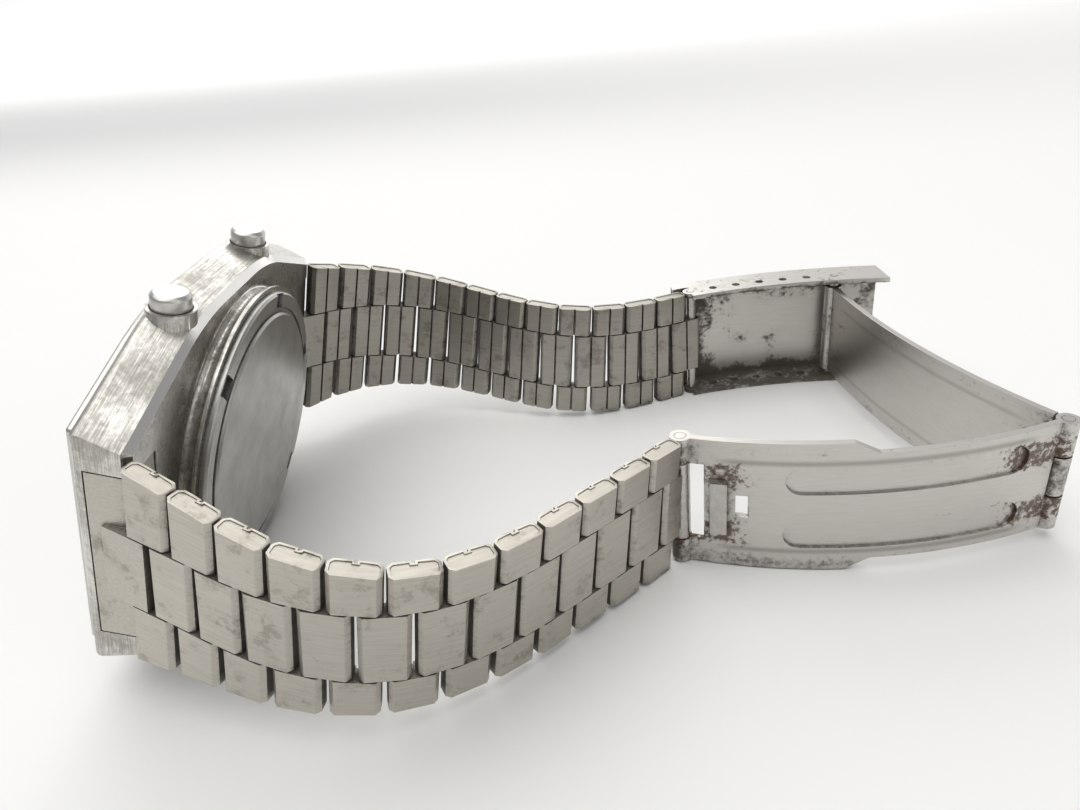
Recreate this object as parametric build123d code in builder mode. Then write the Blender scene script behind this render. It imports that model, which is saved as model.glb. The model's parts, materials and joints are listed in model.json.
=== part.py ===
from build123d import *
import math
import os

# Digital watch with a folded-link steel bracelet, standing open on its 9 o'clock side.
# Millimetres and degrees. +Z is up and the watch stands on Z = 0.

# Stance of the case: it leans on the slanted flank of its 9 o'clock side
case_lean = 16.4
case_heading = 83.0
case_place_x = -39.53
case_place_y = 0.5

# Case outline, as seen from the back
case_length = 49.0
case_width = 36.6
lug_end_width = 24.0
middle_flat_length = 17.4
flank_corner_radius = 27.0
front_round = 0.9

# Case depth, counted both ways from the front edge of the polished stripe
flank_depth = 4.6
stripe_depth = 0.6
stripe_slope = 45.0
drum_radius = 16.9
drum_depth = 2.0
drum_cove_radius = 0.8
front_wall = 1.3
cavity_radius = 14.2
back_seat_radius = 15.2
back_seat_depth = 0.7

# End links between the lugs
end_link_width = 19.2
end_link_length = 4.7
end_link_gap = 0.12
hood_thickness = 1.1

# Bracelet: one pitch has an outer pair and a centre link, on two pins
pitch = 5.0
link_count = 12
link_thickness = 2.0
link_edge = 0.45
link_gap = 0.4
side_gap = 0.15
centre_width = 8.3
outer_width_case = 7.0
outer_width_clasp = 4.0
taper_links = 7
taper_ease_share = 1.9
pin_radius = 0.45
running_clearance = 0.05
seam_width = 0.25
seam_depth = 0.3

# Bracelet path as the watch stands: heading of the first link, then the bend towards
# the wrist at each later link, and how the pins turn upright along the way
near_heading = -25.0
near_bend_angles = [-2, 3, 10, 12, 16, 12, 8, 5, 0, 0, 0]
near_end_lean = 4.0
near_lean_ease_share = 1.0
near_nod_angle = 5.0
near_nod_links = 6
near_end_nod_angle = 0.5
far_heading = 44.5
far_bend_angles = [13, 16, 17, 14, 8, 3, -5, -13, -15, -8, -3]
far_end_lean = 0
far_lean_ease_share = 1.36
first_pin_lead = 0.4
first_pin_depth = 1.5

# Clasp cover: a bowed channel with adjusting holes for the spring bar
cover_heading = -1.0
cover_length = 30.4
cover_lead = 2.4
cover_width = 16.5
cover_bow_radius = 74.0
flange_front = 1.9
plate_rise = 3.3
cover_wall = 0.7
flange_nose_radius = 1.15
flange_relief = 1.5
adjust_pitch = 3.45
adjust_holes = 6
hinge_bar_reach = 21.1
bar_radius = 0.7
bar_tip_radius = 0.5

# Folding blades, which close over each other inside the cover
blade_thickness = 0.8
blade_a_length = 42.4
blade_a_bow = 2.4
blade_b_length = 39.6
blade_b_bow = 3.6
blade_narrow_width = 13.4
blade_wide_width = 16.2
blade_wide_reach = 17.0
blade_step_length = 2.6
hinge_pin_radius = 0.6
knuckle_radius = 1.15
knuckle_gap = 0.2
mid_knuckle_width = 4.8
end_knuckle_width = 3.1
end_tab_length = 2.4
channel_width = 3.4
channel_spacing = 7.0
channel_depth = 0.35
channel_margin = 4.2
latch_window_place = 6.2
latch_window_length = 1.4
latch_window_width = 2.8
latch_place = 3.6
latch_width = 6.6
latch_length = 1.7
latch_thickness = 0.25
latch_rise = 0.9
sleeve_radius = 1.0
end_pin_slack = 0.35
open_pivot_gap = 0.65

# Pushers
pusher_spacing = 19.4
pusher_depth = 2.2
pusher_boss_rise = 0.3
pusher_head_radius = 1.9
pusher_head_height = 2.3
pusher_rise = 2.0
pusher_edge = 0.35
pusher_stem_radius = 0.9
pusher_stem_clearance = 0.1
pusher_travel = 0.8
collar_radius = 2.35
collar_rise = 0.4
well_radius = 2.0
well_depth = 2.1
spring_clearance = 0.3
spring_wall = 0.4
seal_width = 0.8
seal_section = 0.4
clip_radius = 1.3
clip_thickness = 0.35
clip_clearance = 0.15

# Case back
back_flange_radius = 16.3
back_flange_thickness = 0.8
back_disc_radius = 14.0
back_disc_rise = 0.25
back_groove = 0.6
back_edge = 0.25
notch_count = 6
notch_width = 2.3
notch_length = 1.6
notch_depth = 0.6
notch_turn = 12.0
gasket_thickness = 0.25

# Front: bezel, crystal and display
bezel_thickness = 0.9
bezel_inset = 1.5
window_length = 24.0
window_width = 17.0
window_round = 1.5
window_ledge = 1.0
crystal_rise = 0.2
crystal_gasket_thickness = 0.15
seat_clearance = 0.05
display_length = 18.0
display_width = 10.0
mask_radius = 12.8
mask_thickness = 0.3
lcd_thickness = 0.9
lcd_margin = 1.2
zebra_height = 0.8
zebra_width = 1.4
board_thickness = 0.6
board_radius = 12.4
module_radius = 13.8
battery_radius = 4.75
battery_height = 2.0
strap_width = 2.2
strap_thickness = 0.2
pusher_pocket = 2.2

overrun = 1.0

os.makedirs("parts", exist_ok=True)

# Case frame: X from 6 to 12 o'clock, Y towards 3 o'clock, Z from the dial to the wrist
case_half_width = case_width / 2
case_run = Vector(1, 0, 0).rotate(Axis.Z, case_heading)
case_up = Vector(0, 0, 1).rotate(Axis(Vector(0, 0, 0), case_run), case_lean)
first_lean = math.degrees(math.asin(case_up.X))
first_nod = math.degrees(math.atan2(-case_up.Y, case_up.Z))
case_height = case_half_width * math.cos(math.radians(case_lean))
case_frame = Plane(
    origin=(case_place_x, case_place_y, case_height), x_dir=case_run, z_dir=case_run.cross(case_up)
)
flank_slope = math.tan(math.radians(case_lean))
flank_corner_turn = math.atan2(
    case_half_width - lug_end_width / 2, (case_length - middle_flat_length) / 2
)
flank_spread = flank_depth * flank_slope
front_face = -flank_depth
cavity_front = front_face + front_wall
back_face = stripe_depth + drum_depth
cavity_back = back_face - back_seat_depth
back_axis = Axis(case_frame.origin, case_frame.z_dir)
lug_reach = case_length / 2
pocket_back = lug_reach - end_link_length
pocket_front = front_face + hood_thickness


# Bracelet frames
def bracelet_plane(origin, heading, lean, nod, up):
    """Frame of a link: X along the bracelet, Y along its pins, Z away from the wrist."""
    run = Vector(1, 0, 0).rotate(Axis.Z, heading).rotate(Axis.Y, lean).rotate(Axis.X, nod)
    pin = Vector(0, 0, up).rotate(Axis.Y, lean).rotate(Axis.X, nod)
    return Plane(origin=origin, x_dir=run, z_dir=run.cross(pin))


def place_along(frame, reach):
    """Point of a frame's X axis."""
    return frame.origin + frame.x_dir * reach


def bracelet_frames(side, heading, bends, end_lean, lean_ease_share, nods, up):
    """Frames of the outer pair and of the centre link of each pitch, and the last pin's place."""
    frames = []
    pin_place = case_frame.from_local_coords(Vector(side * (lug_reach + first_pin_lead), 0, first_pin_depth))
    lean = first_lean
    nod = first_nod
    for index in range(link_count):
        outer_frame = bracelet_plane(pin_place, heading, lean, nod, up)
        share = ((index + 1) / link_count) ** lean_ease_share
        lean = first_lean + (end_lean - first_lean) * share
        nod = nods[index]
        bend = up * bends[index] if index < len(bends) else 0
        centre_frame = bracelet_plane(
            place_along(outer_frame, pitch / 2), heading + bend / 2, lean, nod, up
        )
        frames.append((outer_frame, centre_frame))
        pin_place = place_along(centre_frame, pitch / 2)
        heading = heading + bend
    return frames, pin_place


near_nods = []
far_nods = []
for index in range(link_count):
    rising = first_nod + (near_nod_angle - first_nod) * (index + 1) / near_nod_links
    falling = near_end_nod_angle + (near_nod_angle - near_end_nod_angle) * (link_count - index - 1) / near_nod_links
    near_nods.append(min(rising, falling, near_nod_angle))
    far_nods.append(first_nod * (link_count - index - 1) / link_count)
near_frames, near_end = bracelet_frames(
    -1, near_heading, near_bend_angles, near_end_lean, near_lean_ease_share, near_nods, 1
)
near_end = near_end + near_frames[-1][1].x_dir * end_pin_slack
far_frames, far_end = bracelet_frames(
    1, far_heading, far_bend_angles, far_end_lean, far_lean_ease_share, far_nods, -1
)

# Clasp frames: the far half ends on the cover's spring bar and the near half at the end
# pin, and the two blades span what is left between the hinge bar and the end pin
cover_frame = bracelet_plane(far_end, cover_heading, 0, 0, -1)
hinge_bar_place = place_along(cover_frame, hinge_bar_reach)
end_pin_place = Vector(near_end.X, near_end.Y, far_end.Z)
span = end_pin_place - hinge_bar_place
span_share = (blade_a_length**2 - blade_b_length**2 + span.length**2) / (2 * span.length**2)
elbow = math.sqrt(blade_a_length**2 - (span_share * span.length) ** 2)
sideways = Vector(-span.Y, span.X, 0).normalized()
mid_hinge_place = hinge_bar_place + span * span_share + sideways * elbow
blade_a_run = mid_hinge_place - hinge_bar_place
blade_b_run = end_pin_place - mid_hinge_place
blade_a_frame = Plane(
    origin=hinge_bar_place, x_dir=blade_a_run, z_dir=blade_a_run.cross(Vector(0, 0, -1))
)
blade_b_frame = Plane(
    origin=mid_hinge_place, x_dir=blade_b_run, z_dir=blade_b_run.cross(Vector(0, 0, -1))
)


def across(frame, distance):
    """Sketch plane square to a frame's pins: its Y points to the wrist."""
    return Plane(origin=frame.origin + frame.y_dir * distance, x_dir=frame.x_dir, z_dir=frame.y_dir)


# Case body: hood, slanted flanks and polished stripe, grown from the lugs' outline
def case_outline(spread):
    """Outline of the case seen along its depth, its flanks moved outwards by spread."""
    flat_end = middle_flat_length / 2 + spread * math.tan(flank_corner_turn / 2)
    flank_middle = case_half_width + spread
    flank_end = lug_end_width / 2 + spread / math.cos(flank_corner_turn)
    with BuildSketch() as sketch:
        with BuildLine():
            Polyline(
                (flat_end, flank_middle),
                (lug_reach, flank_end),
                (lug_reach, -flank_end),
                (flat_end, -flank_middle),
                (-flat_end, -flank_middle),
                (-lug_reach, -flank_end),
                (-lug_reach, flank_end),
                (-flat_end, flank_middle),
                close=True,
            )
        make_face()
        fillet(sketch.vertices().group_by(Axis.Y)[0], flank_corner_radius)
        fillet(sketch.vertices().group_by(Axis.Y)[-1], flank_corner_radius)
    return sketch.sketch


def flank_plane(turn):
    """Plane that cuts the case square to a pair of its flanks: X across it, Y to the wrist."""
    depth_axis = Axis((0, 0, 0), case_frame.z_dir)
    return Plane(
        origin=case_frame.origin,
        x_dir=case_frame.y_dir.rotate(depth_axis, math.degrees(turn)),
        z_dir=case_frame.x_dir.rotate(depth_axis, math.degrees(turn)),
    )


def at_flank_corner(edge):
    """Whether an edge runs down a flank, where its middle flat ends."""
    place = case_frame.to_local_coords(edge.center())
    from_corner = abs(abs(place.X) - middle_flat_length / 2)
    return edge.length > flank_depth and from_corner < end_link_length


slanted_half_width = (
    middle_flat_length / 2 * math.sin(flank_corner_turn)
    + case_half_width * math.cos(flank_corner_turn)
)
flank_corner_start = middle_flat_length / 2 - flank_corner_radius * math.tan(flank_corner_turn / 2)
flank_at_pusher = (
    case_half_width
    - flank_corner_radius
    + math.sqrt(flank_corner_radius**2 - (pusher_spacing / 2 - flank_corner_start) ** 2)
    + pusher_depth * flank_slope
    + pusher_boss_rise
)
clip_seat = math.sqrt(cavity_radius**2 - (pusher_spacing / 2 - clip_radius) ** 2) - flank_at_pusher
clip_foot = clip_seat - clip_clearance - clip_thickness
well_floor = -well_depth
seal_place = well_floor - 2 * seal_width
swing_radius = math.hypot(pitch / 4 - link_gap / 2, link_thickness / 2) + end_link_gap
end_bar_reach = pocket_back + end_link_length / 2
end_bar_depth = pocket_front / 2
near_first = near_frames[0][0]
far_first = far_frames[0][0]


def pusher_plane(side):
    """Plane on the flank under a pusher, Z out of the case."""
    place = case_frame.from_local_coords(Vector(side * pusher_spacing / 2, flank_at_pusher, -pusher_depth))
    return Plane(origin=place, x_dir=case_frame.x_dir, z_dir=case_frame.y_dir)


def lug_bar_plane(side):
    """Plane in the middle of an end link's spring bar, Z along the bar."""
    place = case_frame.from_local_coords(Vector(side * end_bar_reach, 0, end_bar_depth))
    return Plane(origin=place, x_dir=case_frame.x_dir, z_dir=case_frame.y_dir)


with BuildPart() as case_body:
    for turn, half_width, mode in (
        (0, case_half_width, Mode.ADD),
        (flank_corner_turn, slanted_half_width, Mode.INTERSECT),
        (-flank_corner_turn, slanted_half_width, Mode.INTERSECT),
    ):
        with BuildSketch(flank_plane(turn)):
            with BuildLine():
                Polyline(
                    (half_width + flank_spread, front_face),
                    (half_width - stripe_depth * flank_slope, stripe_depth),
                    (stripe_depth * flank_slope - half_width, stripe_depth),
                    (-half_width - flank_spread, front_face),
                    close=True,
                )
            make_face()
        extrude(amount=lug_reach if turn == 0 else case_length, both=True, mode=mode)
    fillet(case_body.edges().filter_by(at_flank_corner), flank_corner_radius)
    fillet(case_body.faces().sort_by(back_axis)[0].edges(), front_round)
    chamfer(case_body.faces().sort_by(back_axis)[-1].edges(), stripe_depth)
    with BuildSketch(case_frame.offset(stripe_depth)):
        Circle(drum_radius)
    extrude(amount=drum_depth)
    # Cove that runs round the drum under the back
    with BuildSketch(Plane(origin=case_frame.origin, x_dir=case_frame.x_dir, z_dir=-case_frame.y_dir)):
        with Locations((drum_radius, stripe_depth + drum_cove_radius)):
            Circle(drum_cove_radius)
    revolve(axis=Axis(case_frame.origin, case_frame.z_dir), mode=Mode.SUBTRACT)
    # Module space and the seat of the back
    with BuildSketch(case_frame.offset(cavity_front)):
        Circle(cavity_radius)
    extrude(amount=drum_depth + flank_depth + stripe_depth, mode=Mode.SUBTRACT)
    with BuildSketch(case_frame.offset(cavity_back)):
        Circle(back_seat_radius)
    extrude(amount=back_seat_depth + overrun, mode=Mode.SUBTRACT)
    # Display window, smaller than the crystal by the ledge that carries it
    with BuildSketch(case_frame.offset(front_face - overrun)):
        RectangleRounded(window_length - 2 * window_ledge, window_width - 2 * window_ledge, window_round)
    extrude(amount=front_wall + 2 * overrun, mode=Mode.SUBTRACT)
    # Pockets for the end links behind the front hood
    with BuildSketch(case_frame.offset(pocket_front)):
        with Locations((-lug_reach, 0), (lug_reach, 0)):
            Rectangle(2 * end_link_length, end_link_width)
    extrude(amount=stripe_depth - pocket_front + overrun, mode=Mode.SUBTRACT)
    # Hollows in the lug ends, in which the first outer links turn
    for frame in (near_first, far_first):
        with BuildSketch(across(frame, 0)):
            Circle(swing_radius)
        extrude(amount=lug_end_width / 2 + overrun, both=True, mode=Mode.SUBTRACT)
    # Spring bar holes in the lugs
    for side in (-1, 1):
        with BuildSketch(lug_bar_plane(side)):
            Circle(bar_tip_radius + running_clearance)
        extrude(amount=end_link_width / 2 + bar_radius, both=True, mode=Mode.SUBTRACT)
    # Pusher collars, wells, stem bores, seal grooves and clip pockets
    for side in (-1, 1):
        with BuildSketch(pusher_plane(side).offset(well_floor)):
            Circle(collar_radius)
        extrude(amount=well_depth + collar_rise)
        with BuildSketch(pusher_plane(side).offset(well_floor)):
            Circle(well_radius)
        extrude(amount=well_depth + pusher_rise, mode=Mode.SUBTRACT)
        with BuildSketch(pusher_plane(side).offset(clip_foot)):
            Circle(pusher_stem_radius + pusher_stem_clearance)
        extrude(amount=-clip_foot, mode=Mode.SUBTRACT)
        with BuildSketch(pusher_plane(side).offset(seal_place)):
            Circle(pusher_stem_radius + pusher_stem_clearance + seal_section)
        extrude(amount=seal_width, mode=Mode.SUBTRACT)
        with BuildSketch(pusher_plane(side).offset(clip_seat)):
            Circle(clip_radius + clip_clearance)
        extrude(amount=-2 * clip_radius - pusher_travel, mode=Mode.SUBTRACT)
case_body.part.label = "case_body"
export_step(case_body.part, "parts/case_body.step")

# Screw-down back with notches for its tool, over a flat gasket
plug_start = cavity_back + gasket_thickness
flange_top = back_face + back_flange_thickness

with BuildPart() as case_back:
    with BuildSketch(case_frame.offset(plug_start)):
        Circle(back_seat_radius - seat_clearance)
    extrude(amount=back_face - plug_start)
    with BuildSketch(case_frame.offset(back_face)):
        Circle(back_flange_radius)
    extrude(amount=back_flange_thickness)
    chamfer(case_back.edges().filter_by(GeomType.CIRCLE).sort_by(back_axis)[-1], back_edge)
    with BuildSketch(case_frame.offset(flange_top - back_disc_rise)):
        Circle(back_disc_radius + back_groove)
        Circle(back_disc_radius, mode=Mode.SUBTRACT)
    extrude(amount=back_disc_rise + overrun, mode=Mode.SUBTRACT)
    with BuildSketch(case_frame.offset(flange_top)):
        Circle(back_disc_radius)
    extrude(amount=back_disc_rise, taper=stripe_slope)
    with BuildSketch(case_frame.offset(flange_top - notch_depth)):
        with PolarLocations(back_disc_radius + back_groove + notch_length / 2, notch_count, notch_turn):
            Rectangle(notch_length, notch_width)
    extrude(amount=notch_depth + overrun, mode=Mode.SUBTRACT)
case_back.part.label = "case_back"
export_step(case_back.part, "parts/case_back.step")

with BuildPart() as back_gasket:
    with BuildSketch(case_frame.offset(cavity_back)):
        Circle(back_seat_radius - seat_clearance)
        Circle(cavity_radius + seat_clearance, mode=Mode.SUBTRACT)
    extrude(amount=gasket_thickness)
back_gasket.part.label = "back_gasket"
export_step(back_gasket.part, "parts/back_gasket.step")

# Front bezel, crystal and its gasket
with BuildPart() as bezel:
    with BuildSketch(case_frame.offset(front_face)):
        add(case_outline(flank_spread - bezel_inset))
        Rectangle(case_length - 2 * bezel_inset, case_width, mode=Mode.INTERSECT)
        RectangleRounded(window_length, window_width, window_round, mode=Mode.SUBTRACT)
    extrude(amount=-bezel_thickness)
bezel.part.label = "bezel"
export_step(bezel.part, "parts/bezel.step")

crystal_length = window_length - 2 * seat_clearance
crystal_width = window_width - 2 * seat_clearance

with BuildPart() as crystal_gasket:
    with BuildSketch(case_frame.offset(front_face)):
        RectangleRounded(crystal_length, crystal_width, window_round)
        RectangleRounded(
            window_length - 2 * window_ledge,
            window_width - 2 * window_ledge,
            window_round,
            mode=Mode.SUBTRACT,
        )
    extrude(amount=-crystal_gasket_thickness)
crystal_gasket.part.label = "crystal_gasket"
export_step(crystal_gasket.part, "parts/crystal_gasket.step")

with BuildPart() as crystal:
    with BuildSketch(case_frame.offset(front_face - crystal_gasket_thickness)):
        RectangleRounded(crystal_length, crystal_width, window_round)
    extrude(amount=crystal_gasket_thickness - bezel_thickness - crystal_rise)
crystal.part.label = "crystal"
export_step(crystal.part, "parts/crystal.step")

# Display and movement, from the window inwards
mask_back = cavity_front + mask_thickness
lcd_back = mask_back + lcd_thickness
board_front = lcd_back + zebra_height
board_back = board_front + board_thickness
zebra_place = (display_width + lcd_margin) / 2
lcd_length = display_length + 2 * lcd_margin
lcd_width = display_width + 2 * lcd_margin

with BuildPart() as dial_mask:
    with BuildSketch(case_frame.offset(cavity_front)):
        Circle(mask_radius)
        Rectangle(display_length, display_width, mode=Mode.SUBTRACT)
    extrude(amount=mask_thickness)
dial_mask.part.label = "dial_mask"
export_step(dial_mask.part, "parts/dial_mask.step")

with BuildPart() as lcd_panel:
    with BuildSketch(case_frame.offset(mask_back)):
        Rectangle(lcd_length, lcd_width)
    extrude(amount=lcd_thickness)
lcd_panel.part.label = "lcd_panel"
export_step(lcd_panel.part, "parts/lcd_panel.step")

with BuildPart() as zebra_strip:
    with BuildSketch(case_frame.offset(lcd_back)):
        with Locations((0, -zebra_place)):
            Rectangle(display_length, zebra_width)
    extrude(amount=zebra_height)
zebra_strip.part.label = "zebra_strip"
export_step(zebra_strip.part, "parts/zebra_strip.step")

# Moulded frame round the display, the board and the cell
pocket_plane_depth = clip_foot - pusher_travel - clip_radius
with BuildPart() as module_frame:
    with BuildSketch(case_frame.offset(mask_back)):
        Circle(module_radius)
    extrude(amount=cavity_back - mask_back)
    with BuildSketch(case_frame.offset(mask_back)):
        Rectangle(lcd_length + 2 * seat_clearance, lcd_width + 2 * seat_clearance)
    extrude(amount=lcd_thickness, mode=Mode.SUBTRACT)
    with BuildSketch(case_frame.offset(lcd_back)):
        with Locations((0, -zebra_place)):
            Rectangle(display_length + 2 * seat_clearance, zebra_width + 2 * seat_clearance)
    extrude(amount=zebra_height, mode=Mode.SUBTRACT)
    with BuildSketch(case_frame.offset(board_front)):
        Circle(board_radius + seat_clearance)
    extrude(amount=board_thickness, mode=Mode.SUBTRACT)
    with BuildSketch(case_frame.offset(board_back)):
        Circle(battery_radius + seat_clearance)
    extrude(amount=battery_height, mode=Mode.SUBTRACT)
    with BuildSketch(case_frame.offset(board_back + battery_height)):
        Circle(board_radius)
    extrude(amount=drum_depth, mode=Mode.SUBTRACT)
    for side in (-1, 1):
        with BuildSketch(pusher_plane(side).offset(pocket_plane_depth)):
            Rectangle(2 * pusher_pocket, 2 * pusher_pocket)
        extrude(amount=-pocket_plane_depth, mode=Mode.SUBTRACT)
module_frame.part.label = "module_frame"
export_step(module_frame.part, "parts/module_frame.step")

with BuildPart() as circuit_board:
    with BuildSketch(case_frame.offset(board_front)):
        Circle(board_radius)
    extrude(amount=board_thickness)
    for side in (-1, 1):
        with BuildSketch(pusher_plane(side).offset(pocket_plane_depth)):
            Rectangle(2 * pusher_pocket, 2 * pusher_pocket)
        extrude(amount=-pocket_plane_depth, mode=Mode.SUBTRACT)
circuit_board.part.label = "circuit_board"
export_step(circuit_board.part, "parts/circuit_board.step")

with BuildPart() as battery:
    with BuildSketch(case_frame.offset(board_back)):
        Circle(battery_radius)
    extrude(amount=battery_height)
battery.part.label = "battery"
export_step(battery.part, "parts/battery.step")

with BuildPart() as battery_strap:
    with BuildSketch(case_frame.offset(board_back + battery_height)):
        Rectangle(2 * (battery_radius + strap_width), strap_width)
    extrude(amount=strap_thickness)
battery_strap.part.label = "battery_strap"
export_step(battery_strap.part, "parts/battery_strap.step")

# Pushers, each with its spring, seal and retaining clip
head_foot = pusher_rise - pusher_head_height
for name, side in (("lower", -1), ("upper", 1)):
    flank = pusher_plane(side)
    with BuildPart() as pusher:
        with BuildSketch(flank.offset(head_foot)):
            Circle(pusher_head_radius)
        extrude(amount=pusher_head_height)
        chamfer(pusher.edges().sort_by(Axis(flank.origin, flank.z_dir))[-1], pusher_edge)
        with BuildSketch(flank.offset(clip_foot)):
            Circle(pusher_stem_radius)
        extrude(amount=head_foot - clip_foot)
    pusher.part.label = "pusher_" + name
    export_step(pusher.part, "parts/pusher_" + name + ".step")

    with BuildPart() as pusher_spring:
        with BuildSketch(flank.offset(well_floor)):
            Circle(pusher_stem_radius + spring_clearance + spring_wall)
            Circle(pusher_stem_radius + spring_clearance, mode=Mode.SUBTRACT)
        extrude(amount=head_foot - well_floor)
    pusher_spring.part.label = "pusher_spring_" + name
    export_step(pusher_spring.part, "parts/pusher_spring_" + name + ".step")

    with BuildPart() as pusher_seal:
        with BuildSketch(flank.offset(seal_place + running_clearance)):
            Circle(pusher_stem_radius + pusher_stem_clearance + seal_section - running_clearance)
            Circle(pusher_stem_radius + running_clearance, mode=Mode.SUBTRACT)
        extrude(amount=seal_width - 2 * running_clearance)
    pusher_seal.part.label = "pusher_seal_" + name
    export_step(pusher_seal.part, "parts/pusher_seal_" + name + ".step")

    with BuildPart() as pusher_clip:
        with BuildSketch(flank.offset(clip_foot)):
            Circle(clip_radius)
            Circle(pusher_stem_radius + seat_clearance / 2, mode=Mode.SUBTRACT)
            with Locations((0, -clip_radius)):
                Rectangle(pusher_stem_radius, 2 * clip_radius, mode=Mode.SUBTRACT)
        extrude(amount=clip_thickness)
    pusher_clip.part.label = "pusher_clip_" + name
    export_step(pusher_clip.part, "parts/pusher_clip_" + name + ".step")

# End links: a block between the lugs with the tongue that takes the first pin
half_end_link = end_link_width / 2 - end_link_gap
for name, side, first in (("near", -1, near_first), ("far", 1, far_first)):
    with BuildPart() as end_link:
        with BuildSketch(case_frame.offset(pocket_front + end_link_gap)):
            with Locations((side * (pocket_back + lug_reach + end_link_gap) / 2, 0)):
                Rectangle(lug_reach - pocket_back - end_link_gap, 2 * half_end_link)
        extrude(amount=stripe_depth - pocket_front - 2 * end_link_gap)
        with BuildSketch(across(first, 0)):
            Circle(swing_radius)
        extrude(amount=lug_end_width / 2, both=True, mode=Mode.SUBTRACT)
        with BuildSketch(across(first, 0)):
            with Locations((-pitch / 4, 0)):
                Rectangle(pitch - link_gap, link_thickness)
            Circle(pin_radius + running_clearance, mode=Mode.SUBTRACT)
        extrude(amount=(centre_width - side_gap) / 2, both=True)
        with BuildSketch(lug_bar_plane(side)):
            Circle(bar_radius + running_clearance)
        extrude(amount=end_link_width / 2, both=True, mode=Mode.SUBTRACT)
    end_link.part.label = "end_link_" + name
    export_step(end_link.part, "parts/end_link_" + name + ".step")

    with BuildPart() as end_bar:
        with BuildSketch(lug_bar_plane(side)):
            Circle(bar_radius)
        extrude(amount=half_end_link, both=True)
        with BuildSketch(lug_bar_plane(side)):
            Circle(bar_tip_radius)
        extrude(amount=end_link_width / 2 + bar_tip_radius, both=True)
    end_bar.part.label = "end_link_bar_" + name
    export_step(end_bar.part, "parts/end_link_bar_" + name + ".step")


# Bracelet links
def outer_width(index):
    """Width of the outer row at a pitch: the bracelet narrows over its first links."""
    share = max(0, 1 - index / taper_links)
    return outer_width_clasp + (outer_width_case - outer_width_clasp) * share**taper_ease_share


def link_profile(start, end):
    """Folded strip seen along its pins, with the seam of the fold on the wrist side."""
    middle = (start + end) / 2
    with BuildSketch() as sketch:
        with Locations((middle, 0)):
            Rectangle(end - start, link_thickness)
        chamfer(sketch.vertices(), link_edge)
        with Locations((middle, link_thickness / 2)):
            Rectangle(seam_width, 2 * seam_depth, mode=Mode.SUBTRACT)
    return sketch.sketch


def bracelet_link(outer_frame, centre_frame, index, next_pin_radius, end_clear):
    """One pitch: two outer links pressed on two pins, and the centre link on the second."""
    start = link_gap / 2 - pitch / 4
    end = start + pitch - link_gap
    inner_edge = (centre_width + side_gap) / 2
    width = outer_width(index)
    next_width = outer_width(index + 1)
    with BuildPart() as outer_pair:
        for side in (-1, 1):
            with BuildSketch(across(outer_frame, side * inner_edge)):
                add(link_profile(start, end))
            extrude(amount=side * width)
        with BuildSketch(outer_frame.offset(-link_thickness)):
            with BuildLine():
                Polyline(
                    (start, inner_edge + width),
                    (end, inner_edge + next_width),
                    (end, -inner_edge - next_width),
                    (start, -inner_edge - width),
                    close=True,
                )
            make_face()
        extrude(amount=2 * link_thickness, mode=Mode.INTERSECT)
    with BuildPart() as link:
        with BuildSketch(across(centre_frame, 0)):
            add(link_profile(start, end))
        extrude(amount=(centre_width - side_gap) / 2, both=True)
        with BuildSketch(across(centre_frame, 0)):
            with Locations((pitch / 2, 0)):
                Circle(next_pin_radius + running_clearance)
        extrude(amount=centre_width / 2, both=True, mode=Mode.SUBTRACT)
        if end_clear:
            with BuildSketch(across(blade_b_frame, 0)):
                with Locations((blade_b_run.length, 0)):
                    Circle(end_clear)
            extrude(amount=centre_width, both=True, mode=Mode.SUBTRACT)
        add(outer_pair.part)
        with BuildSketch(across(outer_frame, 0)):
            with Locations((0, 0), (pitch / 2, 0)):
                Circle(pin_radius)
        extrude(amount=inner_edge + width / 2, both=True)
    return link.part


for index, (outer_frame, centre_frame) in enumerate(near_frames):
    last = index == link_count - 1
    clear = sleeve_radius + open_pivot_gap if last else 0
    near_link = bracelet_link(outer_frame, centre_frame, index, pin_radius, clear)
    near_link.label = f"near_link_{index + 1:02d}"
    export_step(near_link, f"parts/near_link_{index + 1:02d}.step")

for index, (outer_frame, centre_frame) in enumerate(far_frames):
    last = index == link_count - 1
    far_link = bracelet_link(outer_frame, centre_frame, index, bar_radius if last else pin_radius, 0)
    far_link.label = f"far_link_{index + 1:02d}"
    export_step(far_link, f"parts/far_link_{index + 1:02d}.step")

# Clasp cover, whose holes lie on an arc through the spring bar and the hinge bar
half_reach = hinge_bar_reach / 2
bow_centre = math.sqrt(cover_bow_radius**2 - half_reach**2)
plate_outside = cover_bow_radius + plate_rise
plate_inside = plate_outside - cover_wall
flange_edge = cover_bow_radius - flange_front
cover_end = cover_length - cover_lead
first_turn = -math.degrees(math.asin(half_reach / cover_bow_radius))
hole_turn = math.degrees(adjust_pitch / cover_bow_radius)


def bowed_band(outside, inside, start, end):
    """Part of a ring about the cover's bow centre, between two places along the cover."""
    with BuildSketch() as sketch:
        with Locations((half_reach, bow_centre)):
            Circle(outside)
            Circle(inside, mode=Mode.SUBTRACT)
        with Locations(((start + end) / 2, bow_centre - outside)):
            Rectangle(end - start, outside, mode=Mode.INTERSECT)
    return sketch.sketch


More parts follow.
